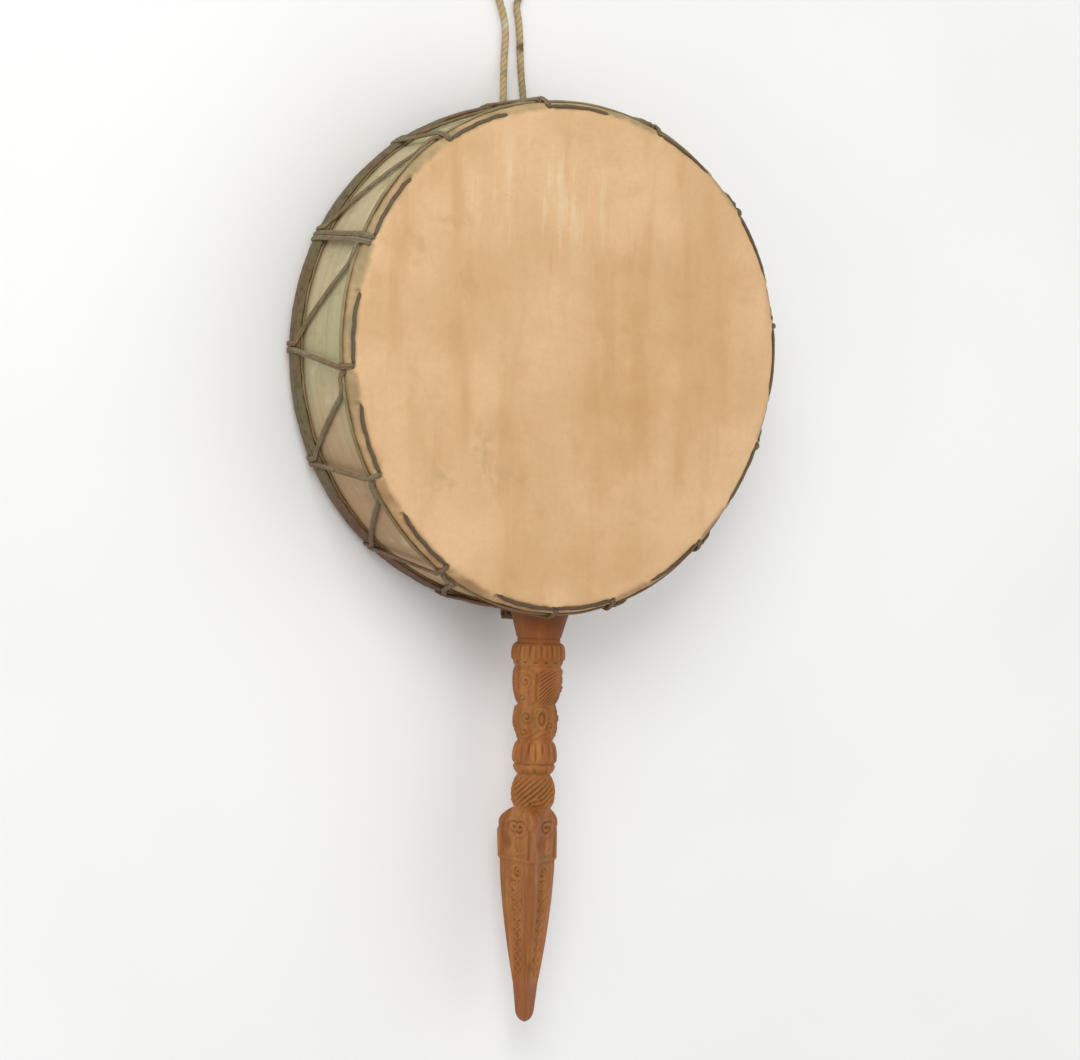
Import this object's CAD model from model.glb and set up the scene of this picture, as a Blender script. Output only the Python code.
import math

import bmesh
import bpy
import numpy as np
from mathutils import Matrix, Vector


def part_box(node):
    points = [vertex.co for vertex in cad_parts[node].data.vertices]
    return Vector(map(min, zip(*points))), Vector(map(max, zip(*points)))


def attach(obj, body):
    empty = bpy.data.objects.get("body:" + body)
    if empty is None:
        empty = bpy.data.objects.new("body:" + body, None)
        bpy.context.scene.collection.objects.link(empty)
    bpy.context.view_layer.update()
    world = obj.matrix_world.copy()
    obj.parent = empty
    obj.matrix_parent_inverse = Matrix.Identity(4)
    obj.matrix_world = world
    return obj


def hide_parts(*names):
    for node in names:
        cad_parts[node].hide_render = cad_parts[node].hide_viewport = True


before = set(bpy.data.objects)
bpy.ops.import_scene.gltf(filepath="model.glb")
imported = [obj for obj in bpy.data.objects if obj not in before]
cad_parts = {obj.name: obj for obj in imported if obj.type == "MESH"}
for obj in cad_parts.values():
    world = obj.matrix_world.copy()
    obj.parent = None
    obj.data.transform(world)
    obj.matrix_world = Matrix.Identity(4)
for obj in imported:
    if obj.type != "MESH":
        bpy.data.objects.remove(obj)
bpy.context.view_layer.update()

mm = 0.001
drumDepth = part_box("front_head")[1].z
midDepth = drumDepth / 2


# Sizes that several pieces share, in metres and degrees

drum = {
    "skinRadius": 197.5 * mm,
    "skinThickness": 1.5 * mm,
    "cornerRadius": 12 * mm,
    "frontSkirt": 14.5 * mm,
    "rearSkirt": 22.5 * mm,
    "hoopWall": 7 * mm,
    "bandThickness": 2 * mm,
    "frontBandWidth": 3.5 * mm,
    "rearBandWidth": 16 * mm,
    "gap": 0.3 * mm,
    # high spots of the out-of-round rims: how many, how high, and one's bearing from +Y to -X
    "frontHighSpots": [(2, 1.5 * mm, -45), (3, 2.8 * mm, 52)],
    "rearHighSpots": [(2, 1.2 * mm, 9), (3, 4.2 * mm, -27), (4, 1.3 * mm, 45)],
}
cornerRing = drum["skinRadius"] - drum["cornerRadius"]  # the circle that the corners roll round
hoopRadius = drum["skinRadius"] - drum["skinThickness"] - drum["gap"]
frontBandLow = drumDepth - drum["frontSkirt"]
rearBandLow = drum["rearSkirt"] - drum["rearBandWidth"]
holes = {  # degrees from +X, clockwise from one side of the handle round to the other
    "front": [267.5, 236.5, 209.5, 184.5, 155.5, 125.5, 97.5, 66, 37, 9, -20, -49, -77],
    "rear": [252, 230, 206, 180.5, 154, 125, 99.5, 69, 39, 10, -19, -48, -70],
}
stitchTilt = 47  # degrees round the rolled corner, from the side wall, where the stitches run
stitchSpan = 16.5  # degrees along the rim, from a hole to the stitch's other end


# Camera, floor and light

view = {
    "turn": 32.71,  # degrees round the drum's long axis, towards the laced side
    "tip": 1.11,
    "roll": -1.15,
    "distance": 2.4,
    "drop": 0.1362,  # the view's middle is this far from the drum's centre, towards the handle
    "lens": 101.87,
}


def placeCamera():
    turn = Matrix.Rotation(math.radians(view["roll"]), 3, "Z")
    turn = turn @ Matrix.Rotation(math.radians(view["tip"]), 3, "X")
    turn = turn @ Matrix.Rotation(math.radians(view["turn"]), 3, "Y")
    stand = turn.transposed()
    place = stand @ Vector((0, -view["drop"], view["distance"]))
    lens = bpy.data.cameras.new("camera")
    lens.lens = view["lens"]
    camera = bpy.data.objects.new("camera", lens)
    camera.matrix_world = Matrix.Translation(place + Vector((0, 0, midDepth))) @ stand.to_4x4()
    bpy.context.scene.collection.objects.link(camera)
    bpy.context.scene.camera = camera


studio = {
    "floorHalf": 4.0,
    "sky": 0.62,
    # name, watts, width, where from, aimed at
    "lamps": [
        ("key", 46, 1.8, (-1.5, 1.6, 2.3), (0, -0.1, 0)),
        ("fill", 14, 2.4, (2.0, -0.6, 2.2), (0, -0.1, 0)),
        ("low", 6, 1.6, (-2.4, -1.4, 0.9), (0, -0.1, 0.05)),
    ],
}


def lightStudio():
    scene = bpy.context.scene
    scene.view_settings.view_transform = "Standard"
    world = bpy.data.worlds.new("studio")
    world.use_nodes = True
    sky = world.node_tree.nodes["Background"]
    sky.inputs["Color"].default_value = (1, 1, 1, 1)
    sky.inputs["Strength"].default_value = studio["sky"]
    scene.world = world
    for name, watts, width, place, aim in studio["lamps"]:
        lamp = bpy.data.lights.new(name, "AREA")
        lamp.energy = watts
        lamp.size = width
        holder = bpy.data.objects.new(name, lamp)
        holder.location = place
        holder.rotation_euler = (Vector(aim) - Vector(place)).to_track_quat("-Z", "Y").to_euler()
        scene.collection.objects.link(holder)


placeCamera()
lightStudio()
print("camera and lights are set")


# Node building

class Wire:  # a node's output that can be used in sums
    def __init__(self, maker, socket):
        self.maker = maker
        self.socket = socket

    def sum(self, operation, other, swapped=False):
        pair = [other, self] if swapped else [self, other]
        return self.maker.node("ShaderNodeMath", {"operation": operation}, dict(enumerate(pair)))

    def __add__(self, other):
        return self.sum("ADD", other)

    def __radd__(self, other):
        return self.sum("ADD", other)

    def __sub__(self, other):
        return self.sum("SUBTRACT", other)

    def __rsub__(self, other):
        return self.sum("SUBTRACT", other, swapped=True)

    def __mul__(self, other):
        return self.sum("MULTIPLY", other)

    def __rmul__(self, other):
        return self.sum("MULTIPLY", other)

    def most(self, other):
        return self.sum("MAXIMUM", other)


class Maker:  # adds nodes to a tree
    tree = None

    def node(self, kind, settings=None, inputs=None, output=0):
        made = self.tree.nodes.new(kind)
        for name, value in (settings or {}).items():
            setattr(made, name, value)
        for name, value in (inputs or {}).items():
            self.feed(made.inputs[name], value)
        return Wire(self, made.outputs[output])

    def feed(self, socket, value):
        if isinstance(value, Wire):
            self.tree.links.new(value.socket, socket)
        elif socket.type == "RGBA" and len(value) == 3:
            socket.default_value = (*value, 1)
        else:
            socket.default_value = value


class Finish(Maker):  # a material under construction
    def __init__(self, name):
        self.material = bpy.data.materials.new(name)
        self.material.use_nodes = True
        self.tree = self.material.node_tree
        self.tree.nodes.clear()
        self.place = self.node("ShaderNodeTexCoord", output="Object")

    def axis(self, name):
        return self.node("ShaderNodeSeparateXYZ", None, {0: self.place}, output=name)

    def own(self, name):  # the piece's own attribute
        return self.node("ShaderNodeAttribute", {"attribute_name": name}, output="Fac")

    def joined(self, x, y, z=0.0):
        return self.node("ShaderNodeCombineXYZ", None, {0: x, 1: y, 2: z})

    def stretched(self, scale, turn=(0, 0, 0), where=None):
        inputs = {"Vector": where or self.place, "Rotation": turn, "Scale": scale}
        return self.node("ShaderNodeMapping", {"vector_type": "POINT"}, inputs)

    def noise(self, scale, detail=3.0, rough=0.55, where=None, twist=0.0):
        inputs = {"Vector": where or self.place, "Scale": scale, "Detail": detail}
        inputs.update({"Roughness": rough, "Distortion": twist})
        return self.node("ShaderNodeTexNoise", None, inputs)

    def cells(self, scale):
        inputs = {"Vector": self.place, "Scale": scale}
        return self.node("ShaderNodeTexVoronoi", {"feature": "F1"}, inputs, output="Distance")

    def ramp(self, value, low, high, start=0.0, end=1.0):  # smooth from start to end
        inputs = {"Value": value, "From Min": low, "From Max": high, "To Min": start, "To Max": end}
        return self.node("ShaderNodeMapRange", {"interpolation_type": "SMOOTHSTEP"}, inputs)

    def patch(self, x, y, halfWidth, halfHeight):  # 1 in the middle of an oval in X and Y, 0 outside
        moved = self.node("ShaderNodeVectorMath", {"operation": "SUBTRACT"},
                          {0: self.place, 1: (x, y, 0)})
        scaled = self.node("ShaderNodeVectorMath", {"operation": "MULTIPLY"},
                           {0: moved, 1: (1 / halfWidth, 1 / halfHeight, 0)})
        away = self.node("ShaderNodeVectorMath", {"operation": "LENGTH"}, {0: scaled}, output="Value")
        return self.ramp(away, 0.15, 1.0, 1.0, 0.0)

    def mix(self, share, first, second):
        return self.node("ShaderNodeMix", {"data_type": "RGBA"}, {0: share, 6: first, 7: second}, output=2)

    def layers(self, colour, look, *rows):  # each row: a pattern, its low and high, a share and a colour
        for value, low, high, share, tint in rows:
            colour = self.mix(self.ramp(value, low, high) * share, colour, look[tint])
        return colour

    def bump(self, height, distance, under=None):
        inputs = {"Height": height, "Distance": distance}
        if under is not None:
            inputs["Normal"] = under
        return self.node("ShaderNodeBump", None, inputs)

    def done(self, **sockets):
        shader = self.tree.nodes.new("ShaderNodeBsdfPrincipled")
        for name, value in sockets.items():
            self.feed(shader.inputs[name.replace("_", " ")], value)
        out = self.tree.nodes.new("ShaderNodeOutputMaterial")
        self.tree.links.new(shader.outputs["BSDF"], out.inputs["Surface"])
        return self.material


class GeoTree(Maker):  # a Geometry Nodes tree under construction
    def __init__(self, name):
        self.tree = bpy.data.node_groups.new(name, "GeometryNodeTree")
        for way in ("INPUT", "OUTPUT"):
            self.tree.interface.new_socket("Geometry", in_out=way, socket_type="NodeSocketGeometry")
        self.start = self.tree.nodes.new("NodeGroupInput")
        self.end = self.tree.nodes.new("NodeGroupOutput")

    def source(self):
        return Wire(self, self.start.outputs["Geometry"])

    def input(self, name, kind, value=None):
        socket = self.tree.interface.new_socket(name, in_out="INPUT", socket_type="NodeSocket" + kind)
        if value is not None:
            socket.default_value = value
        return Wire(self, self.start.outputs[name])

    def done(self, geometry):
        self.feed(self.end.inputs["Geometry"], geometry)
        return self


def grow(name, source, tree, values):
    # runs a tree on a source object and gives its result as a plain mesh object
    modifier = source.modifiers.new(name, "NODES")
    modifier.node_group = tree.tree
    for item in tree.tree.interface.items_tree:
        if item.item_type == "SOCKET" and item.in_out == "INPUT" and item.name in values:
            modifier[item.identifier] = values[item.name]
    graph = bpy.context.evaluated_depsgraph_get()
    mesh = bpy.data.meshes.new_from_object(
        source.evaluated_get(graph), preserve_all_data_layers=True, depsgraph=graph)
    mesh.name = name
    bpy.data.objects.remove(source)
    made = bpy.data.objects.new(name, mesh)
    bpy.context.scene.collection.objects.link(made)
    return made


# Mesh building

def makeObject(name, points, faces, material, attributes=None):
    mesh = bpy.data.meshes.new(name)
    mesh.from_pydata(np.asarray(points).tolist(), [], faces)
    for attribute, values in (attributes or {}).items():
        layer = mesh.attributes.new(attribute, "FLOAT", "POINT")
        layer.data.foreach_set("value", np.asarray(values, dtype=np.float32).ravel())
    work = bmesh.new()
    work.from_mesh(mesh)
    bmesh.ops.recalc_face_normals(work, faces=work.faces)
    work.to_mesh(mesh)
    work.free()
    mesh.shade_smooth()
    mesh.materials.append(material)
    made = bpy.data.objects.new(name, mesh)
    bpy.context.scene.collection.objects.link(made)
    return made


def ringFaces(rings, sides, closed=False):
    # quads between rings of points that lie one after another
    i = np.arange(rings if closed else rings - 1)[:, None]
    j = np.arange(sides)[None, :]
    nextRing = (i + 1) % rings
    nextSide = (j + 1) % sides
    corners = [i * sides + j, i * sides + nextSide, nextRing * sides + nextSide, nextRing * sides + j]
    return np.stack(np.broadcast_arrays(*corners), -1).reshape(-1, 4).tolist()


def highSpotSum(highSpots, bearing):
    return sum(high * np.cos(count * (bearing - math.radians(toward)))
               for count, high, toward in highSpots)


def bendOutOfRound(points):
    # pushes points in or out so that a round drum gets its out-of-round rims
    points = np.array(points, dtype=float)
    bearing = np.arctan2(-points[..., 0], points[..., 1])
    rear = highSpotSum(drum["rearHighSpots"], bearing)
    front = highSpotSum(drum["frontHighSpots"], bearing)
    share = points[..., 2] / drumDepth
    points[..., :2] *= (1 + (rear + (front - rear) * share) / drum["skinRadius"])[..., None]
    return points


def smoothStep(value, low, high):
    t = np.clip((value - low) / (high - low), 0, 1)
    return t * t * (3 - 2 * t)


def bell(value, width):
    return np.exp(-(value / width) ** 2)


def ripples(seed, counts, angle):
    # a wavering line round the drum, between about -1 and 1
    draw = np.random.default_rng(seed)
    total = np.zeros_like(angle)
    for count in counts:
        total = total + draw.uniform(0.5, 1) * np.cos(count * angle + draw.uniform(0, 2 * math.pi))
    return total / math.sqrt(len(counts))


def turnedPiece(name, profile, segments, material, lift=None, poles=False):
    # profile: rows of radius, height, and the outward direction's radius and height parts
    angle = np.linspace(0, 2 * math.pi, segments, endpoint=False)
    radius, height, outR, outZ = [column[:, None] for column in np.array(profile).T]
    off = 0 if lift is None else lift(angle[None, :], np.arange(len(profile))[:, None])
    radius = radius + outR * off
    height = height + outZ * off
    points = np.stack([radius * np.cos(angle), radius * np.sin(angle), height + 0 * angle], -1)
    points = bendOutOfRound(points).reshape(-1, 3)
    faces = ringFaces(len(profile), segments, closed=not poles)
    if poles:
        first = len(points)
        ends = [points[:segments].mean(0) * (0, 0, 1), points[-segments:].mean(0) * (0, 0, 1)]
        points = np.vstack([points, ends])
        last = (len(profile) - 1) * segments
        for j in range(segments):
            after = (j + 1) % segments
            faces.append([first, after, j])
            faces.append([first + 1, last + j, last + after])
    return makeObject(name, points, faces, material)


def dress(piece, slot, *nodes):
    # the piece rides on the drum, takes its slot and stands for its CAD nodes
    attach(piece, "root")
    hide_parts(*nodes)


# The hanging cord, on the surface that the drum lies on

cord = {
    "diameter": 5.6 * mm,
    "plies": 3,
    "plyDepth": 0.16,  # how deep the grooves between the plies are, as a share of the radius
    "layLength": 15 * mm,  # one turn of the twist
    "sides": 24,
    "step": 0.7 * mm,
    "tuckedIn": 2.2 * mm,  # how far each end goes in under the rear hem
    "tan": (0.50, 0.335, 0.165),
    "straw": (0.60, 0.47, 0.27),
    "green": (0.27, 0.25, 0.13),
    "dark": (0.115, 0.05, 0.018),
    "pale": (0.62, 0.56, 0.44),
}
cordRoute = [
    (-16, 201, 11), (-15.4, 209, 10.2), (-13, 222, 6), (-10.8, 238, 3), (-10, 255, 3),
    (-11.5, 268, 3), (-15.4, 280, 3), (-20, 292, 3), (-23, 305, 3), (-21, 318, 3),
    (-12.5, 327, 3), (-1.5, 327, 3), (6, 318, 3), (7, 305, 3), (4, 292, 3),
    (0, 280, 3), (2, 268, 3), (3.4, 255, 3), (4.3, 238, 3), (3.8, 222, 6),
    (2.8, 209, 10.2), (2.4, 202.5, 11),
]


def cordFinish():
    f = Finish("cord_twist")
    along = f.own("along")
    ply = f.own("ply")
    fibres = f.noise(1.0, 3, 0.6, f.joined(along * 300, ply * 34))
    wool = f.noise(650, 3, 0.6)
    colour = f.mix(f.noise(38, 2, 0.5), cord["tan"], cord["straw"])
    colour = f.layers(
        colour, cord,
        (f.noise(55, 2, 0.5), 0.5, 0.68, 0.75, "green"),
        (f.noise(85, 2, 0.6), 0.58, 0.72, 0.6, "dark"))
    colour = f.mix(f.ramp(fibres, 0.42, 0.7) * 0.3, colour, (0.24, 0.15, 0.07))
    # a dark knot-like stain on the strand that leaves near the middle, a bleached spot on the other
    colour = f.mix(f.patch(3.9 * mm, 0.247, 6 * mm, 6 * mm) * 0.85, colour, cord["dark"])
    colour = f.mix(f.patch(-10.5 * mm, 0.264, 6 * mm, 7 * mm) * 0.9, colour, cord["pale"])
    groove = f.own("groove")
    colour = f.mix(groove * 0.55, colour, (0.13, 0.075, 0.03))
    normal = f.bump(fibres * 0.7 + wool * 0.3, 0.5 * mm)
    return f.done(Base_Color=colour, Roughness=0.85, Normal=normal, Specular_IOR_Level=0.25)


def smoothRoute(points, step):
    # a Catmull-Rom line through the points, as even steps
    points = np.array(points, dtype=float)
    ends = [2 * points[0] - points[1], 2 * points[-1] - points[-2]]
    full = np.vstack([ends[0], points, ends[1]])
    t = np.linspace(0, 1, 60, endpoint=False)[:, None]
    line = []
    for a, b, c, d in zip(full, full[1:], full[2:], full[3:]):
        line.append(0.5 * (2 * b + (c - a) * t + (2 * a - 5 * b + 4 * c - d) * t ** 2
                           + (3 * b - a - 3 * c + d) * t ** 3))
    line = np.vstack([*line, points[-1:]])
    reach = np.concatenate([[0], np.cumsum(np.linalg.norm(np.diff(line, axis=0), axis=1))])
    places = np.linspace(0, reach[-1], round(reach[-1] / step) + 1)
    return np.stack([np.interp(places, reach, column) for column in line.T], -1), places


def makeCord():
    route = np.array(cordRoute) * mm
    for end, beyond in ((0, 1), (-1, -2)):
        inward = route[end] - route[beyond]
        route[end] += inward / np.linalg.norm(inward) * cord["tuckedIn"]
    line, reach = smoothRoute(route, cord["step"])
    ahead = np.gradient(line, axis=0)
    ahead /= np.linalg.norm(ahead, axis=1)[:, None]
    beside = np.cross(ahead, (0, 0, 1))
    beside /= np.linalg.norm(beside, axis=1)[:, None]
    above = np.cross(beside, ahead)
    around = np.linspace(0, 2 * math.pi, cord["sides"], endpoint=False)[None, :]
    twist = around * cord["plies"] + (reach / cord["layLength"] * 2 * math.pi)[:, None] * cord["plies"]
    crown = np.abs(np.cos(twist / 2))
    radius = cord["diameter"] / 2 * (1 - cord["plyDepth"] * (1 - crown) ** 1.5)
    points = (line[:, None] + (radius * np.cos(around))[..., None] * beside[:, None]
              + (radius * np.sin(around))[..., None] * above[:, None])
    sides, rings = cord["sides"], len(line)
    faces = ringFaces(rings, sides)
    faces.append(list(range(sides)))
    faces.append(list(range((rings - 1) * sides, rings * sides)))
    wear = {"along": np.repeat(reach, sides), "ply": twist / (2 * math.pi) / cord["plies"],
            "groove": np.clip(1 - crown * 1.6, 0, 1)}
    piece = makeObject("hanging_loop", points.reshape(-1, 3), faces, cordFinish(), wear)
    dress(piece, "cord", "hanging_cord")


makeCord()


# The skin heads

frontHead = {
    "segments": 900,
    "base": (0.655, 0.41, 0.195),
    "peach": (0.745, 0.49, 0.26),
    "honey": (0.53, 0.29, 0.10),
    "pale": (0.84, 0.66, 0.43),
    "smudge": (0.36, 0.27, 0.13),
    "speck": (0.26, 0.13, 0.05),
    "greySkirt": (0.30, 0.225, 0.105),
    "brownSkirt": (0.33, 0.165, 0.062),
    "hemDirt": (0.13, 0.09, 0.04),
    "grooveDepth": 0.6 * mm,  # how far a stitch presses into the rolled corner
    "lipHeight": 0.8 * mm,  # the skin's raised rim round each hole
    "pitDepth": 1.3 * mm,
}
rearHead = dict(frontHead, segments=600, base=(0.62, 0.39, 0.19), peach=(0.68, 0.45, 0.24))


def headFinish(name, look, front):
    f = Finish(name)
    x, y, z = f.axis("X"), f.axis("Y"), f.axis("Z")
    clouds = f.noise(11, 4, 0.55)
    blots = f.noise(34, 4, 0.6, twist=0.4)
    fine = f.noise(210, 4, 0.65)
    streaks = f.noise(60, 4, 0.6, f.stretched((1.6, 0.16, 1)))
    broad = f.noise(26, 3, 0.55, f.stretched((1.3, 0.2, 1), (0, 0, 0.06)))
    colour = f.mix(f.ramp(clouds, 0.36, 0.66), look["base"], look["peach"])
    colour = f.layers(
        colour, look,
        (broad, 0.5, 0.75, 0.5, "honey"),
        (blots, 0.52, 0.78, 0.35, "honey"))
    if front:
        # where this hide is darker, paler or stained
        for px, py, wide, high, share, tint in (
                (45, -35, 52, 150, 0.55, "honey"), (62, -26, 34, 40, 0.4, "honey"),
                (120, 0, 75, 130, 0.3, "honey"), (20, -160, 130, 45, 0.35, "honey"),
                (-30, 20, 70, 90, 0.35, "peach"), (-135, 20, 45, 120, 0.3, "peach")):
            mask = f.patch(px * mm, py * mm, wide * mm, high * mm) * f.ramp(blots, 0.3, 0.6, 0.45, 1.0)
            colour = f.mix(mask * share, colour, look[tint])
        bleached = f.patch(-28 * mm, 122 * mm, 95 * mm, 75 * mm) * f.ramp(streaks, 0.5, 0.66)
        colour = f.mix(bleached * 0.5, colour, look["pale"])
        fibrous = f.patch(-10 * mm, 95 * mm, 120 * mm, 95 * mm) * f.ramp(streaks, 0.46, 0.3)
        colour = f.mix(fibrous * 0.35, colour, look["honey"])
        smudge = f.patch(-92 * mm, -88 * mm, 55 * mm, 48 * mm) * f.ramp(blots, 0.5, 0.66)
        colour = f.mix(smudge * 0.42, colour, look["smudge"])
        scuffs = f.patch(-120 * mm, 62 * mm, 48 * mm, 60 * mm) * f.ramp(blots, 0.54, 0.68)
        colour = f.mix(scuffs * 0.25, colour, look["smudge"])
    grain = f.ramp(fine, 0.3, 0.75)
    colour = f.mix(grain * 0.16, colour, look["honey"])
    pores = f.cells(330)
    specks = f.ramp(pores, 0.16, 0.08) * f.ramp(f.noise(45, 2), 0.56, 0.7)
    colour = f.mix(specks * 0.5, colour, look["speck"])
    # the skirt is greyer than the face, browner towards the handle
    edge = z if front else drumDepth - z
    skirt = f.mix(f.ramp(y, -0.16, 0.02), look["brownSkirt"], look["greySkirt"])
    skirt = f.mix(f.ramp(f.noise(48, 4, 0.6), 0.35, 0.7) * 0.6, skirt, look["base"])
    turnsTo = edge + (f.noise(70, 3) - 0.5) * 3 * mm
    down = f.ramp(turnsTo, drumDepth - 0.3 * mm, drumDepth - 3.2 * mm)
    colour = f.mix(down * 0.92, colour, skirt)
    dirt = f.ramp(turnsTo, drumDepth - 7 * mm, drumDepth - 12 * mm) * 0.4
    colour = f.mix(dirt, colour, look["hemDirt"])
    rough = f.ramp(clouds, 0.3, 0.7, 0.5, 0.62) + grain * 0.06
    folds = f.noise(90, 3, 0.5, f.stretched((1, 1, 0.35)))
    normal = f.bump(folds * down, 2.2 * mm)
    normal = f.bump(fine * 0.5 + streaks * 0.5, 0.35 * mm, normal)
    normal = f.bump(f.ramp(pores, 0.22, 0.05), 0.12 * mm, normal)
    return f.done(Base_Color=colour, Roughness=rough, Normal=normal)


def headProfile(skirt):
    # radius, height, outward radius and height parts, and the distance from the middle
    round_, thin = drum["cornerRadius"], drum["skinThickness"]
    low = drumDepth - round_
    rows = [(r, drumDepth, 0, 1, r) for r in cornerRing * np.array([0.02, *np.linspace(0.1, 0.9, 10)])]
    rows += [(r, drumDepth, 0, 1, r) for r in np.linspace(0.92, 0.99, 6) * cornerRing]

    def corner(steps, size, start, end):
        for tilt in np.radians(np.linspace(start, end, steps)):
            across, up = math.cos(tilt), math.sin(tilt)
            reach = cornerRing + round_ * (math.pi / 2 - tilt)
            rows.append((cornerRing + size * across, low + size * up, across, up, reach))

    corner(22, round_, 90, 0)
    side = cornerRing + round_ * math.pi / 2
    bottom = drumDepth - skirt
    for height in np.linspace(low, bottom + 0.5 * mm, 6)[1:]:
        rows.append((drum["skinRadius"], height, 1, 0, side + low - height))
    for turn in np.radians([-40, -90, -140]):
        middle = drum["skinRadius"] - thin / 2
        rows.append((middle + thin / 2 * math.cos(turn), bottom + thin / 2 * (1 + math.sin(turn)), 0.3, 0,
                     side + low - bottom))
    for height in np.linspace(bottom + 0.8 * mm, low, 4)[:-1]:
        rows.append((drum["skinRadius"] - thin, height, 1, 0, side + low - height))
    corner(12, round_ - thin, 0, 90)
    rows += [(r, drumDepth - thin, 0, 1, r) for r in cornerRing * np.array([0.9, 0.6, 0.3, 0.02])]
    return np.array(rows)


def makeHead(name, look, front, slot, node):
    profile = headProfile(drum["frontSkirt"] if front else drum["rearSkirt"])
    stitchLine = cornerRing + drum["cornerRadius"] * math.radians(90 - stitchTilt)
    rim = "front" if front else "rear"

    def lift(angle, row):
        reach = profile[:, 4][row]
        down = reach - stitchLine
        total = np.zeros(np.broadcast_shapes(angle.shape, row.shape))
        for hole in holes[rim]:
            past = math.radians(hole) - angle
            past = (past + math.pi) % (2 * math.pi) - math.pi
            inStitch = smoothStep(past, math.radians(-1), math.radians(1)) * smoothStep(
                past, math.radians(stitchSpan + 1), math.radians(stitchSpan - 1))
            total -= look["grooveDepth"] * bell(down, 2.4 * mm) * inStitch
            total += 0.4 * look["grooveDepth"] * bell(abs(down) - 4.6 * mm, 2.2 * mm) * inStitch
            for end in (0, math.radians(stitchSpan)):
                arc = (past - end) * drum["skinRadius"]
                away = np.hypot(arc, down)
                total += look["lipHeight"] * bell(away - 3.4 * mm, 1.4 * mm)
                total -= look["pitDepth"] * bell(away, 1.9 * mm)
                # puckers that run from the hole over the corner towards the face
                fan = np.cos(np.arctan2(arc, down - 9 * mm) * 9) * bell(away - 8 * mm, 5 * mm)
                total += 0.16 * mm * fan
        skirtShare = smoothStep(reach, cornerRing + 12 * mm, cornerRing + 24 * mm)
        total += 0.35 * mm * skirtShare * ripples(4, (31, 47, 68, 95), angle)
        total += 0.25 * mm * smoothStep(reach, cornerRing - 6 * mm, cornerRing + 6 * mm) * ripples(
            9, (13, 22, 29), angle)
        flat = cornerRing - 4 * mm
        return total * smoothStep(reach, flat, cornerRing + 3 * mm)

    rows = profile[:, :4].copy()
    if not front:
        rows[:, 1] = drumDepth - rows[:, 1]
        rows[:, 3] = -rows[:, 3]
    finish = headFinish(slot, look, front)
    piece = turnedPiece(name, rows, look["segments"], finish, lift, poles=True)
    dress(piece, slot, node)
    print(name, "is made")


makeHead("front_drumskin", frontHead, True, "front_skin", "front_head")
makeHead("rear_drumskin", rearHead, False, "rear_skin", "rear_head")


# The bent hoop

hoop = {
    "segments": 480,
    "khaki": (0.50, 0.40, 0.23),
    "green": (0.42, 0.375, 0.205),
    "tan": (0.40, 0.235, 0.115),
    "stain": (0.24, 0.16, 0.075),
    "chalk": (0.60, 0.52, 0.36),
    "ripple": 0.35 * mm,
}


def hoopFinish():
    f = Finish("hoop_wood")
    y, z = f.axis("Y"), f.axis("Z")
    clouds = f.noise(14, 4, 0.6)
    blots = f.noise(42, 4, 0.62, twist=0.5)
    fine = f.noise(260, 4, 0.65)
    grain = f.noise(90, 4, 0.6, f.stretched((0.12, 0.12, 1.9)))
    colour = f.mix(f.ramp(clouds, 0.38, 0.62), hoop["khaki"], hoop["green"])
    lower = f.ramp(y + (clouds - 0.5) * 0.12, 0.0, -0.13)
    colour = f.mix(lower * 0.85, colour, hoop["tan"])
    colour = f.layers(
        colour, hoop,
        (blots, 0.56, 0.74, 0.4, "stain"),
        (blots, 0.44, 0.3, 0.45, "chalk"),
        (grain, 0.45, 0.75, 0.3, "stain"))
    # dust and shade along both bands
    nearFront = f.ramp(z + (fine - 0.5) * 4 * mm, frontBandLow - 6 * mm, frontBandLow)
    nearRear = f.ramp(z + (fine - 0.5) * 4 * mm, drum["rearSkirt"] + 7 * mm, drum["rearSkirt"])
    colour = f.mix(nearFront.most(nearRear) * 0.4, colour, hoop["stain"])
    normal = f.bump(grain * 0.7 + blots * 0.3, 0.5 * mm)
    normal = f.bump(fine, 0.15 * mm, normal)
    rough = f.ramp(blots, 0.3, 0.7, 0.6, 0.8)
    return f.done(Base_Color=colour, Roughness=rough, Normal=normal)


def makeHoop():
    thin, gap = drum["skinThickness"], drum["gap"]
    size = drum["cornerRadius"] - thin - gap
    low, high = thin + gap, drumDepth - thin - gap
    inner = hoopRadius - drum["hoopWall"]
    inset = drum["hoopWall"] - 1.5 * mm
    rows = []
    for tilt in np.radians(np.linspace(-60, 0, 8)):
        rows.append((cornerRing + size * math.cos(tilt), drum["cornerRadius"] + size * math.sin(tilt)))
    for height in np.linspace(drum["cornerRadius"], drumDepth - drum["cornerRadius"], 16)[1:-1]:
        rows.append((hoopRadius, height))
    for tilt in np.radians(np.linspace(0, 60, 8)):
        rows.append((cornerRing + size * math.cos(tilt),
                     drumDepth - drum["cornerRadius"] + size * math.sin(tilt)))
    wall = len(rows)
    rows += [(inner, high - inset), (inner, midDepth), (inner, low + inset)]
    directions = [(1, 0)] * wall + [(-1, 0)] * 3
    profile = np.hstack([rows, directions])

    def lift(angle, row):
        bulge = np.sin(np.clip(row / wall, 0, 1) * math.pi)
        return np.where(row < wall, hoop["ripple"] * bulge * ripples(17, (3, 7, 12, 26), angle), 0)

    piece = turnedPiece("bent_hoop", profile, hoop["segments"], hoopFinish(), lift)
    dress(piece, "hoop_wood", "hoop")
    print("hoop is made")


makeHoop()


# What follows a path: a flattened section swept along lines that know which way is outward

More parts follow.
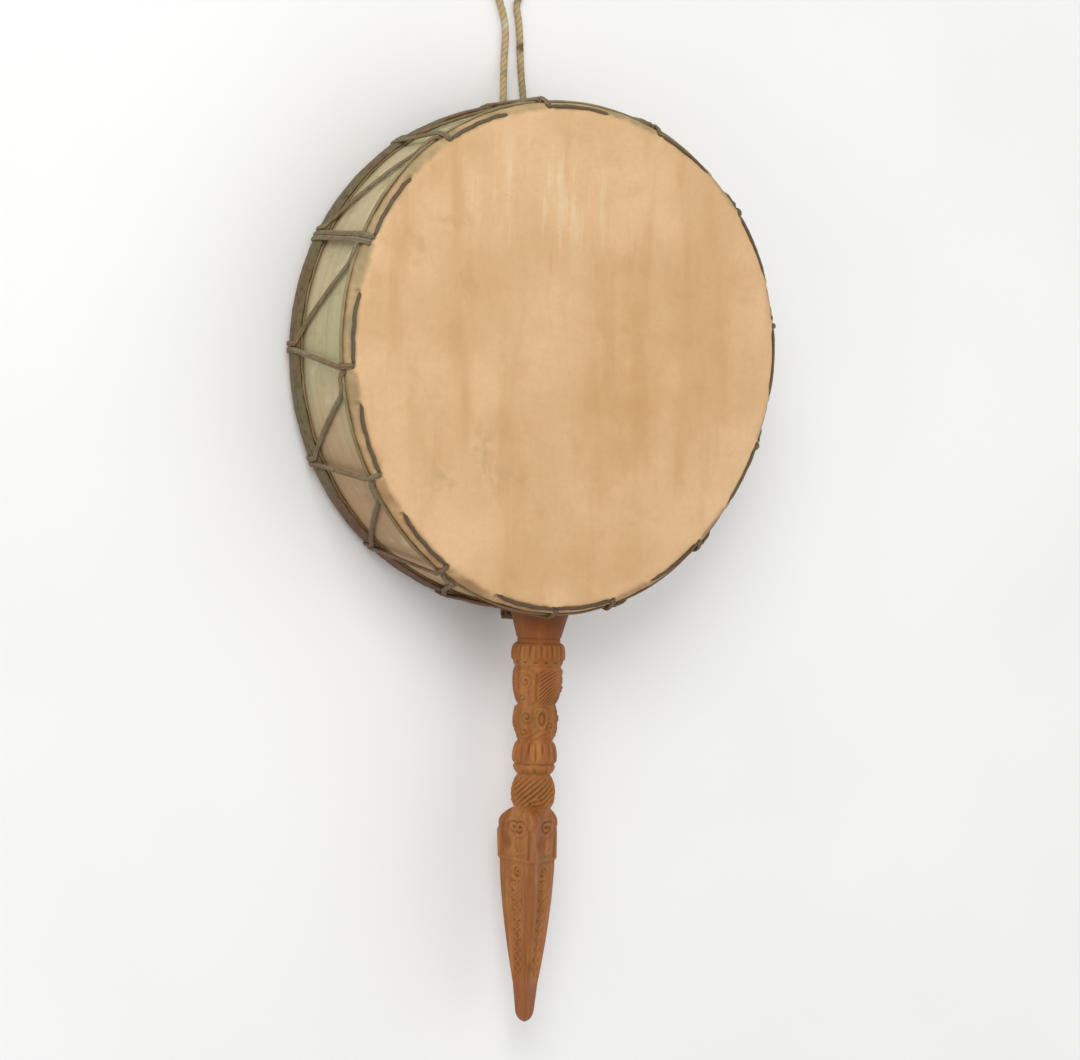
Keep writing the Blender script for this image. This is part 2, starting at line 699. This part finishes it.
def sweepTree():
    t = GeoTree("swept_strap")
    width = t.input("Width", "Float", 4 * mm)
    thickness = t.input("Thickness", "Float", 2 * mm)
    sides = t.input("Sides", "Int", 10)
    step = t.input("Step", "Float", 1 * mm)
    twist = t.input("Twist", "Float", 0.3)
    twistSize = t.input("Twist Scale", "Float", 60.0)
    rough = t.input("Roughness", "Float", 0.3 * mm)
    roughSize = t.input("Roughness Scale", "Float", 120.0)
    seed = t.input("Seed", "Float", 1.0)
    finish = t.input("Material", "Material")
    line = t.node("GeometryNodeMeshToCurve", None, {"Mesh": t.source()})
    line = t.node("GeometryNodeResampleCurve", {"mode": "LENGTH"}, {"Curve": line, "Length": step})
    outward = t.node("GeometryNodeInputNamedAttribute", {"data_type": "FLOAT_VECTOR"},
                     {"Name": "outward"})
    line = t.node("GeometryNodeSetCurveNormal", {"mode": "FREE"}, {"Curve": line, "Normal": outward})
    place = t.node("GeometryNodeInputPosition")
    turning = t.node("ShaderNodeTexNoise", {"noise_dimensions": "4D"},
                     {"Vector": place, "W": seed, "Scale": twistSize, "Detail": 1.0})
    line = t.node("GeometryNodeSetCurveTilt", None, {"Curve": line, "Tilt": (turning - 0.5) * twist})
    reach = t.node("GeometryNodeSplineParameter", output="Length")
    line = t.node("GeometryNodeStoreNamedAttribute", {"data_type": "FLOAT", "domain": "POINT"},
                  {"Geometry": line, "Name": "along", "Value": reach})
    section = t.node("GeometryNodeCurvePrimitiveCircle", None, {"Resolution": sides, "Radius": 0.5})
    shape = t.node("ShaderNodeCombineXYZ", None, {0: thickness, 1: width, 2: 1.0})
    section = t.node("GeometryNodeTransform", None, {"Geometry": section, "Scale": shape})
    turn = t.node("GeometryNodeSplineParameter", output="Factor")
    section = t.node("GeometryNodeStoreNamedAttribute", {"data_type": "FLOAT", "domain": "POINT"},
                     {"Geometry": section, "Name": "around", "Value": turn})
    body = t.node("GeometryNodeCurveToMesh", None,
                  {"Curve": line, "Profile Curve": section, "Fill Caps": True})
    lumps = t.node("ShaderNodeTexNoise", {"noise_dimensions": "4D"},
                   {"Vector": place, "W": seed + 7.0, "Scale": roughSize, "Detail": 2.0})
    normal = t.node("GeometryNodeInputNormal")
    push = t.node("ShaderNodeVectorMath", {"operation": "SCALE"},
                  {0: normal, "Scale": (lumps - 0.5) * rough * 2})
    body = t.node("GeometryNodeSetPosition", None, {"Geometry": body, "Offset": push})
    body = t.node("GeometryNodeSetShadeSmooth", None, {"Geometry": body})
    body = t.node("GeometryNodeRealizeInstances", None, {"Geometry": body})
    return t.done(t.node("GeometryNodeSetMaterial", None, {"Geometry": body, "Material": finish}))


strapTree = sweepTree()


def pathObject(name, paths, closed=False):
    # each path is rows of degrees, radius, height, outward radius and height parts
    points, outward, edges = [], [], []
    for path in paths:
        path = np.array(path, dtype=float)
        angle = np.radians(path[:, 0])
        first = len(points)
        flat = np.stack([np.cos(angle), np.sin(angle), 0 * angle], -1)
        up = np.array([0, 0, 1])
        points.extend(bendOutOfRound(flat * path[:, 1:2] + up * path[:, 2:3]))
        outward.extend(flat * path[:, 3:4] + up * path[:, 4:5])
        edges += [(first + i, first + i + 1) for i in range(len(path) - 1)]
        if closed:
            edges.append((len(points) - 1, first))
    mesh = bpy.data.meshes.new(name)
    mesh.from_pydata([tuple(p) for p in points], edges, [])
    layer = mesh.attributes.new("outward", "FLOAT_VECTOR", "POINT")
    layer.data.foreach_set("vector", np.array(outward, dtype=np.float32).ravel())
    source = bpy.data.objects.new(name, mesh)
    bpy.context.scene.collection.objects.link(source)
    return source


# The cane band at the front and the rolled band at the rear

cane = {
    "width": 3.8 * mm,
    "thickness": 2.4 * mm,
    "sides": 12,
    "olive": (0.235, 0.185, 0.075),
    "brown": (0.20, 0.11, 0.04),
    "straw": (0.37, 0.29, 0.14),
    "line": (0.06, 0.04, 0.015),
}
roll = {
    "width": 17 * mm,
    "thickness": 3.4 * mm,
    "sides": 24,
    "brown": (0.15, 0.082, 0.034),
    "olive": (0.135, 0.105, 0.042),
    "red": (0.115, 0.045, 0.022),
    "dark": (0.028, 0.014, 0.008),
}


def caneFinish():
    f = Finish("cane")
    y = f.axis("Y")
    along, around = f.own("along"), f.own("around")
    fibre = f.noise(1.0, 4, 0.6, f.joined(along * 45, around * 34))
    clouds = f.noise(30, 4, 0.6)
    colour = f.mix(f.ramp(clouds, 0.35, 0.65), cane["olive"], cane["straw"])
    colour = f.layers(
        colour, cane,
        (y, -0.02, -0.16, 0.8, "brown"),
        (fibre, 0.45, 0.72, 0.5, "line"),
        (fibre, 0.42, 0.25, 0.35, "straw"))
    rough = f.ramp(clouds, 0.3, 0.7, 0.5, 0.68)
    return f.done(Base_Color=colour, Roughness=rough, Normal=f.bump(fibre, 0.4 * mm))


def rollFinish():
    f = Finish("rolled_hide")
    y = f.axis("Y")
    along, around = f.own("along"), f.own("around")
    clouds = f.noise(24, 4, 0.6)
    fine = f.noise(190, 4, 0.65)
    folds = f.noise(1.0, 3, 0.6, f.joined(along * 150, around * 9))
    colour = f.mix(f.ramp(clouds, 0.38, 0.6), roll["brown"], roll["olive"])
    colour = f.layers(
        colour, roll,
        (y, -0.07, -0.19, 0.75, "red"),
        (fine, 0.5, 0.7, 0.5, "dark"),
        (folds, 0.55, 0.75, 0.6, "dark"))
    normal = f.bump(folds, 0.8 * mm)
    normal = f.bump(fine, 0.25 * mm, normal)
    return f.done(Base_Color=colour, Roughness=f.ramp(fine, 0.3, 0.7, 0.55, 0.8), Normal=normal)


def makeBand(name, look, low, bandWidth, slot, node, finish, rough, bulges):
    degrees = np.arange(0, 360, 0.5)
    drift = ripples(31, bulges, np.radians(degrees))
    # the band's inner side just presses into the skirt
    radius = drum["skinRadius"] + look["thickness"] * 0.38 + drift * 0.25 * mm
    height = low + bandWidth / 2 + drift * 0.5 * mm
    path = np.stack([degrees, radius, height, 0 * degrees + 1, 0 * degrees], -1)
    piece = grow(name, pathObject(name, [path], closed=True), strapTree, {
        "Width": look["width"], "Thickness": look["thickness"], "Sides": look["sides"],
        "Step": 1.4 * mm, "Twist": 0.16, "Twist Scale": 25.0, "Roughness": rough,
        "Roughness Scale": 70.0, "Seed": 3.0, "Material": finish})
    dress(piece, slot, node)
    print(name, "is made")


makeBand("cane_band", cane, frontBandLow, drum["frontBandWidth"], "cane", "front_hem_cane",
         caneFinish(), 0.25 * mm, (5, 9, 17))
makeBand("rolled_band", roll, rearBandLow, drum["rearBandWidth"], "rolled_hide", "rear_hem_roll",
         rollFinish(), 0.6 * mm, (7, 13, 29))


# The lacing

lacing = {
    "width": 4.4 * mm,
    "thickness": 2.7 * mm,
    "sides": 12,
    "slantStart": 5.5,  # degrees from a front hole to where its slanted strand leaves the band
    "doubledAt": 4,  # this straight strand is laid twice
    "doubledBeside": (1.35, 1.2),  # degrees between the two, at the front and the rear
    "slantBeside": 1.4,  # degrees between a slanted and a straight strand's rear ends
    "endAt": 268,  # where the thong's end is coiled up, beside the handle
    "endHeight": 12 * mm,
    "endTurns": 3,
    "grey": (0.205, 0.165, 0.088),
    "brown": (0.19, 0.115, 0.05),
    "red": (0.13, 0.055, 0.025),
    "worn": (0.34, 0.27, 0.16),
    "dark": (0.05, 0.03, 0.012),
}
stitches = {
    "width": 3.1 * mm,
    "thickness": 2.2 * mm,
    "lift": 0.5 * mm,
    "shade": 0.55,  # how much darker than the strands
}


def thongFinish(name, shade):
    f = Finish(name)
    y = f.axis("Y")
    along, around = f.own("along"), f.own("around")
    twist = f.noise(1.0, 2, 0.5, f.joined(along * 320 + around * 7, around * 3))
    clouds = f.noise(45, 3, 0.6)
    fine = f.noise(420, 3, 0.65)
    colour = f.mix(f.ramp(clouds, 0.38, 0.62), lacing["grey"], lacing["brown"])
    colour = f.layers(
        colour, lacing,
        (y, -0.06, -0.19, 0.6, "red"),
        (twist, 0.5, 0.72, 0.6, "dark"),
        (twist, 0.42, 0.28, 0.35, "worn"))
    colour = f.mix(f.ramp(clouds, 0.3, 0.7, shade, shade * 0.7), colour, lacing["dark"])
    normal = f.bump(twist, 0.7 * mm)
    normal = f.bump(fine, 0.2 * mm, normal)
    return f.done(Base_Color=colour, Roughness=0.7, Normal=normal)


lift = lacing["thickness"] / 2 + 0.1 * mm
crown = drum["skinRadius"] + drum["gap"] + drum["bandThickness"] + lift


def onCorner(degrees, tilt, off, front=True):
    # on the rolled corner, so many degrees round it from the side wall
    across, up = math.cos(math.radians(tilt)), math.sin(math.radians(tilt))
    radius = cornerRing + (drum["cornerRadius"] + off) * across
    height = drumDepth - drum["cornerRadius"] + (drum["cornerRadius"] + off) * up
    return (degrees, radius, height if front else drumDepth - height, across, up if front else -up)


def onSide(degrees, radius, height):
    return (degrees, radius, height, 1, 0)


def rearEnd(degrees):
    # over the rolled band and round the rear corner into the hole
    top = drum["rearSkirt"]
    return [
        onSide(degrees, crown, top - 4 * mm), onSide(degrees, crown + 0.3 * mm, top - 8 * mm),
        onSide(degrees, crown - 0.9 * mm, rearBandLow + 0.2 * mm),
        onCorner(degrees, 36, lift + 0.3 * mm, False), onCorner(degrees, 43, lift, False),
        onCorner(degrees, 48, -1 * mm, False), onCorner(degrees, 51, -3 * mm, False),
    ]


def frontStart(degrees):
    # out of the hole, over the corner and over the cane
    top = frontBandLow + drum["frontBandWidth"]
    return [
        onCorner(degrees, 51, -3 * mm), onCorner(degrees, 48, -0.6 * mm), onCorner(degrees, 43, lift),
        onCorner(degrees, 34, lift), onCorner(degrees, 24, lift + 0.6 * mm),
        onSide(degrees, crown - 0.3 * mm, top - 0.6 * mm), onSide(degrees, crown + 0.2 * mm, top - 3 * mm),
    ]


def straightStrand(front, rear):
    return frontStart(front) + [onSide(front, crown, frontBandLow + 0.8 * mm)] + rearEnd(rear)


def slantedStrand(hole, rear):
    # along the cane from the front hole, then slanting down over the hoop
    onCane = crown - 0.9 * mm
    level = frontBandLow + 1.6 * mm
    path = [onCorner(hole + 0.9, 24, -2 * mm), onCorner(hole + 1.1, 10, 1.2 * mm),
            onSide(hole + 1.6, onCane, level + 1.6 * mm)]
    leaves = lacing["slantStart"]
    path += [onSide(hole + leaves * share, onCane, level) for share in (0.45, 0.6, 0.75)]
    path.append(onSide(hole + leaves * 0.92, onCane - 0.6 * mm, level - 1.6 * mm))
    overHoop = hoopRadius + lift + 1.2 * mm
    high, low = frontBandLow - 4 * mm, drum["rearSkirt"] + 4 * mm
    front = hole + leaves
    for share in np.linspace(0.06, 0.8, 7):
        middle = front + (rear - front) * share
        path.append(onSide(middle, overHoop, high + (low - high) * (share - 0.06) / 0.74))
    return path + rearEnd(rear)


def stitch(degrees, front):
    path = [onCorner(degrees - 0.2, stitchTilt + 4, -2.5 * mm, front)]
    path.append(onCorner(degrees - 0.9, stitchTilt + 2, stitches["lift"] * 0.6, front))
    for along in np.arange(2, stitchSpan - 1, 1.5):
        sway = 1.6 * math.sin(along * 1.3 + degrees) + 4 * (along / stitchSpan) ** 2
        path.append(onCorner(degrees - along, stitchTilt + sway, stitches["lift"], front))
    path.append(onCorner(degrees - stitchSpan + 0.5, stitchTilt + 9, stitches["lift"] * 0.6, front))
    path.append(onCorner(degrees - stitchSpan, stitchTilt + 17, -2.5 * mm, front))
    return path


def coiledEnd():
    # a small coil of the thong's end beside the handle
    path = []
    degrees, height, turns = lacing["endAt"], lacing["endHeight"], lacing["endTurns"]
    for step in np.linspace(0, turns * 2 * math.pi, turns * 12 + 1):
        rise = 4.2 * mm * math.sin(step)
        out = 3.6 * mm * math.cos(step)
        path.append((degrees + 1.2 * step / math.pi / turns, crown + 2.6 * mm + out, height + rise,
                     math.cos(step), math.sin(step)))
    return path


def layStrands(name, paths, look, finish):
    return grow(name, pathObject(name, paths), strapTree, {
        "Width": look["width"], "Thickness": look["thickness"], "Sides": lacing["sides"],
        "Step": 1.2 * mm, "Twist": 1.1, "Twist Scale": 38.0, "Roughness": 0.45 * mm,
        "Roughness Scale": 190.0, "Seed": 11.0, "Material": finish})


def makeLacing():
    strands = []
    stitched = []
    for i, (front, rear) in enumerate(zip(holes["front"], holes["rear"])):
        strands.append(straightStrand(front, rear))
        if i == lacing["doubledAt"]:
            strands.append(straightStrand(*np.add((front, rear), lacing["doubledBeside"])))
        if i > 0:
            strands.append(slantedStrand(front, holes["rear"][i - 1] - lacing["slantBeside"]))
        stitched += [stitch(front, True), stitch(rear, False)]
    strands.append(coiledEnd())
    dress(layStrands("thong_lacing", strands, lacing, thongFinish("thong", 0)), "thong", "lacing")
    dress(layStrands("thong_stitches", stitched, stitches, thongFinish("stitch_thong", stitches["shade"])),
          "thong")
    print("lacing is made,", len(strands), "strands and", len(stitched), "stitches")


makeLacing()


# The carved handle: distances along its axis from the drum's centre and sizes across it are in
# millimetres here, and become metres with its points

handle = {
    "lean": 1.24,  # degrees off the drum's centre line, towards -X at the tip
    "seatX": 4.8,
    "around": 192,
    "step": 0.75,
    "start": 194.5,
    "neckEnd": 224,
    "rootAt": 186,
    "neckRoot": (31, 33),  # reach across and in depth at the root
    "neckRadius": 16.9,
    "shoulderAt": 368,
    "stepAt": 397,
    "carvingEnd": 494,
    "tipAt": 524,
    "shoulderReach": 27.6,
    "stepReach": 26.6,
    "carvingEndReach": 12,
    "tipReach": 8,
    "taperBulge": 1.6,
    "serpentPitch": 15.5,
    "hollow": 0.17,
    "ridgeExtras": (-0.1, 0, 0.14),
    "ridgeSoftness": 0.93,
    "wood": (0.29, 0.093, 0.020),
    "light": (0.41, 0.165, 0.045),
    "olive": (0.225, 0.11, 0.025),
    "red": (0.235, 0.058, 0.013),
    "neckDark": (0.15, 0.045, 0.012),
    "groove": (0.105, 0.038, 0.012),
}
beads = {  # from, to, and the radius at the start, the belly and the end
    "fluted": (225, 243.4, 18, 20.6, 17.9),
    "curled": (243.4, 273.3, 17.9, 19, 14.7),
    "looped": (273.3, 301.8, 14.7, 17.1, 13.5),
    "lotus": (301.8, 328.6, 13.5, 17.1, 12.6),
    "twisted": (328.6, 354.7, 12.6, 16.8, 14.3),
}
marks = {  # raised lines: height, width and points; spirals: height, middle, size, pitch and hand
    "curled": (
        [(1.6, 1.5, [(-5, 17), (-4.4, 23), (-3.4, 29)]),
         (1.2, 1.1, [(-17, 4), (-11, 3), (-5.5, 6.5), (-4, 12), (-6.5, 17.5), (-12, 19)]),
         (-0.9, 1.0, [(-1.5, 6), (-1.6, 16), (-1, 28)])],
        [(0.7, -11, 11.5, 4.6, 4.2), (0.6, -12.5, 25.5, 4, 3.8, -1)]),
    "looped": (
        [(1.1, 0.9, [(-2, 9), (-1, 4), (3, 2), (8, 4), (10, 9)]),
         (0.9, 0.9, [(-7, 25), (-2, 21), (1.5, 16)]),
         (0.8, 0.9, [(0, 25.5), (4, 22), (9, 20.5)])],
        [(0.8, -8.5, 10, 5.2, 4.0, -1), (0.7, -10, 21, 4.2, 3.8), (0.7, 12, 17, 4.2, 3.8, -1)]),
    "shoulder": (
        [(1.5, 1.5, [(1.2, 374), (0.6, 384), (0, 396)]),
         (-0.9, 0.9, [(-2.8, 372), (-3, 384), (-3, 395)]),
         (1.0, 1.0, [(-24, 388), (-15, 392), (-6, 389)]),
         (0.9, 0.9, [(-8, 359), (-5, 365), (-7, 370)]),
         (0.9, 0.9, [(2, 358), (4.5, 364), (2.5, 371)]),
         (0.8, 0.9, [(-3, 357), (-1.5, 363), (-2, 369)])],
        [(0.95, -11, 371, 7.5, 4.6), (0.8, -17, 384, 6.5, 4.4, -1),
         (0.9, 12, 369, 6.0, 4.4, -1), (0.8, 16, 384, 6.2, 4.4)]),
}


def share(value, low, high):
    return np.clip((value - low) / (high - low), 0, 1)


def between(first, last, t):
    return first + (last - first) * t


def stroke(x, y, points, width):
    # 1 along a line drawn through the points, falling to 0 beside it
    points = np.array(points, dtype=float)
    if len(points) > 2:
        points = smoothRoute(points, 1.2)[0]
    nearest = np.full(np.broadcast_shapes(x.shape, y.shape), 1e3)
    for (ax, ay), (bx, by) in zip(points, points[1:]):
        long = max((bx - ax) ** 2 + (by - ay) ** 2, 1e-9)
        t = np.clip(((x - ax) * (bx - ax) + (y - ay) * (by - ay)) / long, 0, 1)
        nearest = np.minimum(nearest, np.hypot(x - ax - t * (bx - ax), y - ay - t * (by - ay)))
    return bell(nearest, width)


def curl(x, y, middleX, middleY, size, pitch, hand=1):
    # a spiral of raised line
    away = np.hypot(x - middleX, y - middleY)
    turn = np.arctan2(y - middleY, x - middleX)
    return np.cos(2 * math.pi * away / pitch - hand * turn) * np.exp(-(away / size) ** 4)


def oval(x, y, middleX, middleY, wide, high):
    return np.hypot((x - middleX) / wide, (y - middleY) / high)


def flutedRelief(x, y, angle):
    lobe = np.abs(np.cos(7 * angle))
    edge = 8.6 + 5.4 * lobe ** 0.7
    petal = smoothStep(edge - y, -0.5, 0.5) * smoothStep(y, 0, 1.2)
    relief = petal * (0.9 - 1.5 * (1 - lobe) ** 3 - 0.7 * bell(lobe - 1, 0.05))
    relief -= 1.1 * bell(lobe - 1, 0.12) * bell(y - 15.2, 0.9)
    return relief + 0.5 * bell(y - 17.3, 0.7)


def marked(name, x, y):
    lines, spirals = marks[name]
    total = sum(high * stroke(x, y, points, width) for high, width, points in lines)
    return total + sum(high * curl(x, y, *spiral) for high, *spiral in spirals)


def curledRelief(x, y, angle):
    fan = np.cos(2 * math.pi * (y + 0.5 * x + 0.03 * x * y) / 3.7)
    fan = fan * smoothStep(x, 0, 2.5) * smoothStep(-x, -18, -15) * smoothStep(y, 1, 4)
    return marked("curled", x, y) + 0.6 * fan


def loopedRelief(x, y, angle):
    ring = oval(x, y, 4, 11, 3.9, 7.2)
    relief = 1.35 * bell(ring - 1, 0.26) + 1.0 * bell(ring, 0.3) - 0.5 * bell(ring - 0.62, 0.2)
    return relief + marked("looped", x, y)


def lotusRelief(x, y, angle):
    lobe = np.abs(np.cos(4.5 * angle))
    hanging = smoothStep(8 + 9 * lobe ** 0.6 - y, -0.5, 0.5) * smoothStep(y, 0.5, 2)
    relief = hanging * (0.7 - 1.9 * (1 - lobe) ** 4 - 0.8 * bell(lobe - 1, 0.02))
    offset = np.abs(np.sin(4.5 * angle))
    rising = smoothStep(y - (24.5 - 4.6 * offset ** 0.6), -0.4, 0.4)
    relief += rising * (0.9 - 2.4 * (1 - offset) ** 3)
    return relief - 0.8 * bell(y - 18.4, 0.7)


def twistedRelief(x, y, angle):
    relief = 0.75 * np.cos(2 * math.pi * (y + 0.85 * x) / 4.6) * np.sin(math.pi * share(y, 0, 26)) ** 0.5
    leaf = oval(x, y, 1.5, 20.5, 4.6, 3.2)
    relief = relief * smoothStep(leaf, 0.8, 1.2) + 1.2 * smoothStep(-leaf, -1.05, -0.75)
    relief -= 1.0 * stroke(x, y, [(-3, 22), (1.5, 20.5), (6, 19)], 0.6)
    knob = oval(x, y, -8, 17, 2.0, 2.0)
    return relief - 1.2 * bell(knob, 0.7)


beadReliefs = {"fluted": flutedRelief, "curled": curledRelief, "looped": loopedRelief,
               "lotus": lotusRelief, "twisted": twistedRelief}


def shoulderRelief(x, s):
    # around a ridge: a raised bar, a deep hollow beside it and scrolls on both sides
    relief = marked("shoulder", x, s) - 2.8 * bell(oval(x, s, 6.2, 383.5, 2.9, 6.0), 1)
    fade = smoothStep(s, 355, 359) * smoothStep(-s, -396.5, -394)
    return relief * fade + 0.7 * bell(s - 395.4, 1.0)


def bladeRelief(x, s, half):
    # two raised lines close in on a pair of serpents that wind round each other
    down = s - handle["stepAt"]
    width = half * 0.56
    wave = np.sin(2 * math.pi * down / handle["serpentPitch"])
    swing = width * 0.52 * wave
    scales = 1 + 0.16 * np.cos(2 * math.pi * (down + np.abs(x)) / 2.3)
    bodies = np.maximum(bell(x - swing, 1.7), bell(x + swing, 1.7)) * scales
    crossing = bell(wave, 0.3) * bell(np.abs(x) - 2.0, 0.5)
    inside = smoothStep(down, 12, 18) * smoothStep(-s, -491, -484)
    relief = (1.25 * bodies - 0.6 * crossing) * inside
    lines = bell(np.abs(x) - width, 0.85) * smoothStep(down, 14, 18) * smoothStep(-s, -494, -491)
    relief += 1.15 * lines
    head = oval(x, s, 0, handle["stepAt"] + 9, half * 0.42, 5.5)
    relief += 1.0 * bell(head - 0.9, 0.22) + 0.9 * curl(x, s, 0, handle["stepAt"] + 9, half * 0.3, 3.8)
    rim = smoothStep(down, 2, 6) * smoothStep(-s, -494, -490)
    relief -= 0.55 * bell(np.abs(x) - half * 0.83, 0.7) * rim
    return relief * smoothStep(down, 0.5, 2)


def bladeBase(angle, s):
    pitch = 2 * math.pi / 3
    face = np.minimum((angle // pitch).astype(int), 2)
    along = share(s, handle["shoulderAt"], handle["stepAt"])
    upper = between(handle["shoulderReach"], handle["stepReach"], along)
    taper = share(s, handle["stepAt"], handle["carvingEnd"]) ** handle["taperBulge"]
    lower = between(handle["stepReach"] - 0.6, handle["carvingEndReach"], taper)
    lower = between(lower, handle["tipReach"], share(s, handle["carvingEnd"], handle["tipAt"]))
    reach = np.where(s < handle["stepAt"], upper, lower)
    uneven = 1 - share(s, handle["shoulderAt"], handle["tipAt"])
    extras = np.array(handle["ridgeExtras"])
    near = reach * (1 + extras[face] * uneven)
    far = reach * (1 + extras[(face + 1) % 3] * uneven)
    past = angle - face * pitch
    flat = near * far * math.sin(pitch) / (near * np.sin(past) + far * np.sin(pitch - past))
    carved = smoothStep(s, handle["stepAt"], handle["stepAt"] + 4)
    carved = carved * smoothStep(-s, -handle["carvingEnd"] - 4, -handle["carvingEnd"] + 4)
    sunk = flat * (1 - between(0.06, handle["hollow"], carved) * np.sin(math.pi * past / pitch) ** 2)
    soft = between(near, far, past / pitch) * handle["ridgeSoftness"]
    # a soft minimum keeps the ridges from being knife edges
    return -np.log(np.exp(-sunk * 1.6) + np.exp(-soft * 1.6)) / 1.6 + 0.25, reach


def handleSurface(angle, s):
    # the handle's radius and how far its carving stands off the plain form
    sector = (angle - math.radians(120) + math.pi / 3) % (2 * math.pi / 3) - math.pi / 3
    t = share(s, handle["rootAt"], handle["neckEnd"]) ** 0.6
    across = between(handle["neckRoot"][0], handle["neckRadius"], t)
    deep = between(handle["neckRoot"][1], handle["neckRadius"], t)
    base = 1 / np.hypot(np.cos(angle) / across, np.sin(angle) / deep)
    relief = -0.7 * bell(s - 221.5, 1.0) * (s < 225)
    for name, (low, high, first, belly, last) in beads.items():
        here = (s >= low) & (s < high)
        t = share(s, low, high)
        swell = belly - (first + last) / 2
        plain = between(first, last, t) + swell * np.sin(math.pi * t) ** 0.7
        base = np.where(here, plain, base)
        fade = np.clip(np.sin(math.pi * t) * 3, 0, 1)
        relief = np.where(here, beadReliefs[name](-sector * plain, s - low, angle) * fade, relief)
    blade, reach = bladeBase(angle, s)
    lastBead = beads["twisted"]
    grown = np.sin(share(s, lastBead[1], handle["shoulderAt"]) * math.pi / 2) ** 0.8
    below = s >= lastBead[1]
    base = np.where(below, between(lastBead[4], blade, grown), base)
    relief = np.where(below & (s < handle["stepAt"]), shoulderRelief(-sector * base, s), relief)
    faceSector = angle % (2 * math.pi / 3) - math.pi / 3
    half = reach * math.sin(math.pi / 3)
    # the faces are flat, so the way across one goes with the tangent
    across = -np.tan(faceSector) / math.tan(math.pi / 3) * half
    relief = np.where(s >= handle["stepAt"], bladeRelief(across, s, half), relief)
    relief = relief * smoothStep(-s, -handle["tipAt"] + 12, -handle["carvingEnd"] - 1)
    rounded = np.sqrt(1 - share(s, handle["tipAt"] - 9, handle["tipAt"]) ** 2.4)
    return (base + relief) * rounded, relief


def blurred(field, times):
    # spreads values to their neighbours, all round and along
    for _ in range(times):
        field = (field + np.roll(field, 1, 1) + np.roll(field, -1, 1)) / 3
        padded = np.vstack([field[:1], field, field[-1:]])
        field = (padded[:-2] + padded[1:-1] + padded[2:]) / 3
    return field


def woodFinish():
    f = Finish("carved_wood")
    x, y = f.axis("X"), f.axis("Y")
    hollow, raised = f.own("hollow"), f.own("raised")
    grain = f.noise(75, 4, 0.6, f.stretched((1, 0.14, 1)), 0.6)
    fine = f.noise(420, 4, 0.65, f.stretched((1, 0.3, 1)))
    clouds = f.noise(34, 4, 0.6)
    colour = f.mix(f.ramp(grain, 0.38, 0.66), handle["wood"], handle["light"])
    colour = f.layers(
        colour, handle,
        (clouds, 0.5, 0.68, 0.55, "olive"),
        (clouds, 0.44, 0.3, 0.45, "red"),
        (grain, 0.42, 0.28, 0.3, "groove"))
    neck = f.ramp(y, -0.2265, -0.2225)
    under = f.ramp(y + x * 0.35, -0.222, -0.205)
    colour = f.mix(neck * 0.55, colour, handle["red"])
    colour = f.mix(under * 0.75, colour, handle["neckDark"])
    tip = f.ramp(y, -0.49, -0.5)
    colour = f.mix(tip * 0.5, colour, handle["red"])
    colour = f.mix(hollow * 0.8, colour, handle["groove"])
    colour = f.mix(raised * 0.45, colour, handle["light"])
    colour = f.mix(f.ramp(fine, 0.55, 0.75) * 0.22, colour, handle["groove"])
    rough = f.ramp(clouds, 0.3, 0.7, 0.42, 0.58) + hollow * 0.15
    normal = f.bump(grain, 0.5 * mm)
    normal = f.bump(fine, 0.2 * mm, normal)
    return f.done(Base_Color=colour, Roughness=rough, Normal=normal, Specular_IOR_Level=0.2)


def makeHandle():
    angle = np.linspace(0, 2 * math.pi, handle["around"], endpoint=False)[None, :]
    count = round((handle["tipAt"] - handle["start"]) / handle["step"])
    s = np.linspace(handle["start"], handle["tipAt"] - 0.12, count)[:, None]
    radius, relief = handleSurface(angle, s + 0 * angle)
    cut = relief - blurred(relief, 5)
    lean = math.radians(handle["lean"])
    x, y, z = radius * np.cos(angle), -s + 0 * angle, radius * np.sin(angle)
    # the whole handle leans about the drum's axis and meets the hoop a little off its centre line
    offX = handle["seatX"] + hoopRadius / mm * math.sin(lean)
    points = np.stack([x * math.cos(lean) + y * math.sin(lean) + offX,
                       -x * math.sin(lean) + y * math.cos(lean), z + midDepth / mm], -1)
    points = points.reshape(-1, 3) * mm
    sides = handle["around"]
    faces = ringFaces(count, sides)
    points = np.vstack([points, points[:sides].mean(0), points[-sides:].mean(0)])
    first, last = count * sides, (count - 1) * sides
    for j in range(sides):
        after = (j + 1) % sides
        faces.append([first, after, j])
        faces.append([first + 1, last + j, last + after])
    wear = {"hollow": np.clip(-cut / 0.8, 0, 1), "raised": np.clip(cut / 0.8, 0, 1)}
    wear = {name: np.append(values.ravel(), [0, 0]) for name, values in wear.items()}
    piece = makeObject("carved_handle", points, faces, woodFinish(), wear)
    dress(piece, "carved_wood", "handle")
    print("handle is made")


makeHandle()


# The floor

def layFloor():
    f = Finish("floor_paper")
    tone = f.noise(3.0, 2, 0.5)
    colour = f.mix(f.ramp(tone, 0.3, 0.7), (0.90, 0.90, 0.89), (0.93, 0.93, 0.925))
    half = studio["floorHalf"]
    low = -0.4 * mm
    points = [(-half, -half, low), (half, -half, low), (half, half, low), (-half, half, low)]
    floor = makeObject("floor", points, [(0, 1, 2, 3)], f.done(Base_Color=colour, Roughness=0.95))


layFloor()
